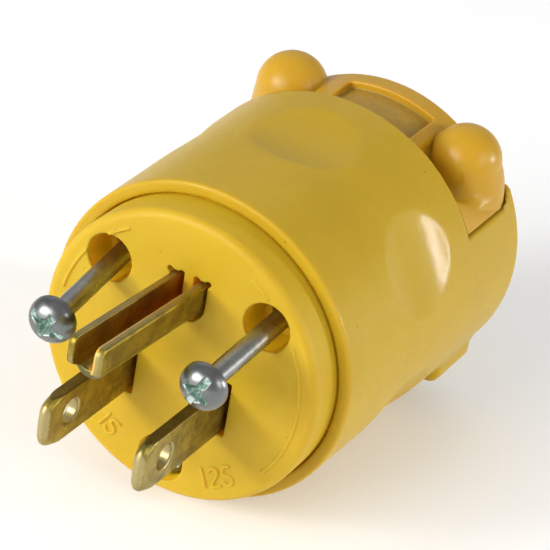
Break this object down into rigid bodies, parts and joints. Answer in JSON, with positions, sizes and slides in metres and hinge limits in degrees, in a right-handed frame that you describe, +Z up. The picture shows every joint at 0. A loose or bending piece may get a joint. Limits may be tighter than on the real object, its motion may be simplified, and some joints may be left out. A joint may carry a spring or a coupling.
{
  "type": "industrial plug",
  "caption": "Round yellow wire-it-yourself grounding plug with flat blades, a U-shaped ground pin and a screw-down cord clamp.",
  "frame": {"origin": "centre of the front face, on the plug's axis", "axes": "+Y along the axis from the face into the body, +Z up towards the ground pin, +X right seen from the blades"},
  "size_m": [0.0414, 0.0701, 0.0414],
  "materials": {
    "insert_pvc": "satin moulded yellow PVC",
    "shell_pvc": "satin moulded yellow PVC with dark specks",
    "jaw_pvc": "smoother yellow PVC, a little more orange",
    "brass_blade": "tarnished stamped brass",
    "brass_blade_dark": "darker tarnished stamped brass",
    "brass_ground": "tarnished folded brass",
    "zinc_screw": "blue-white zinc plate",
    "brass_insert": "turned brass",
    "zinc_nut": "zinc plate",
    "brass_plate": "stamped brass",
    "zinc_plate": "zinc plate",
    "brass_screw": "bright brass",
    "nickel_screw": "nickel plate",
    "green_screw": "green finish",
    "retainer_pvc": "moulded plastic"
  },
  "bodies": {
    "plug_body": {"face_insert": "insert_pvc", "body_shell": "shell_pvc", "hot_blade": "brass_blade", "neutral_blade": "brass_blade_dark", "ground_blade": "brass_ground", "assembly_screw_left": "zinc_screw", "assembly_screw_right": "zinc_screw", "assembly_screw_bottom": "zinc_screw", "assembly_nut_left": "brass_insert", "assembly_nut_right": "brass_insert", "assembly_nut_bottom": "brass_insert", "clamp_screw_left": "zinc_screw", "clamp_screw_right": "zinc_screw", "hot_wire_plate": "brass_plate", "neutral_wire_plate": "zinc_plate", "ground_wire_plate": "zinc_plate", "hot_terminal_screw": "brass_screw", "neutral_terminal_screw": "nickel_screw", "ground_terminal_screw": "green_screw", "terminal_retainer": "retainer_pvc"},
    "clamp_jaw": {"cord_clamp_jaw": "jaw_pvc", "clamp_nut_left": "zinc_nut", "clamp_nut_right": "zinc_nut"}
  },
  "joints": [
    {"name": "jaw_slide", "type": "slide", "parent": "plug_body", "child": "clamp_jaw", "axis": [0, 0, 1], "range_m": [0, 0.004]}
  ]
}
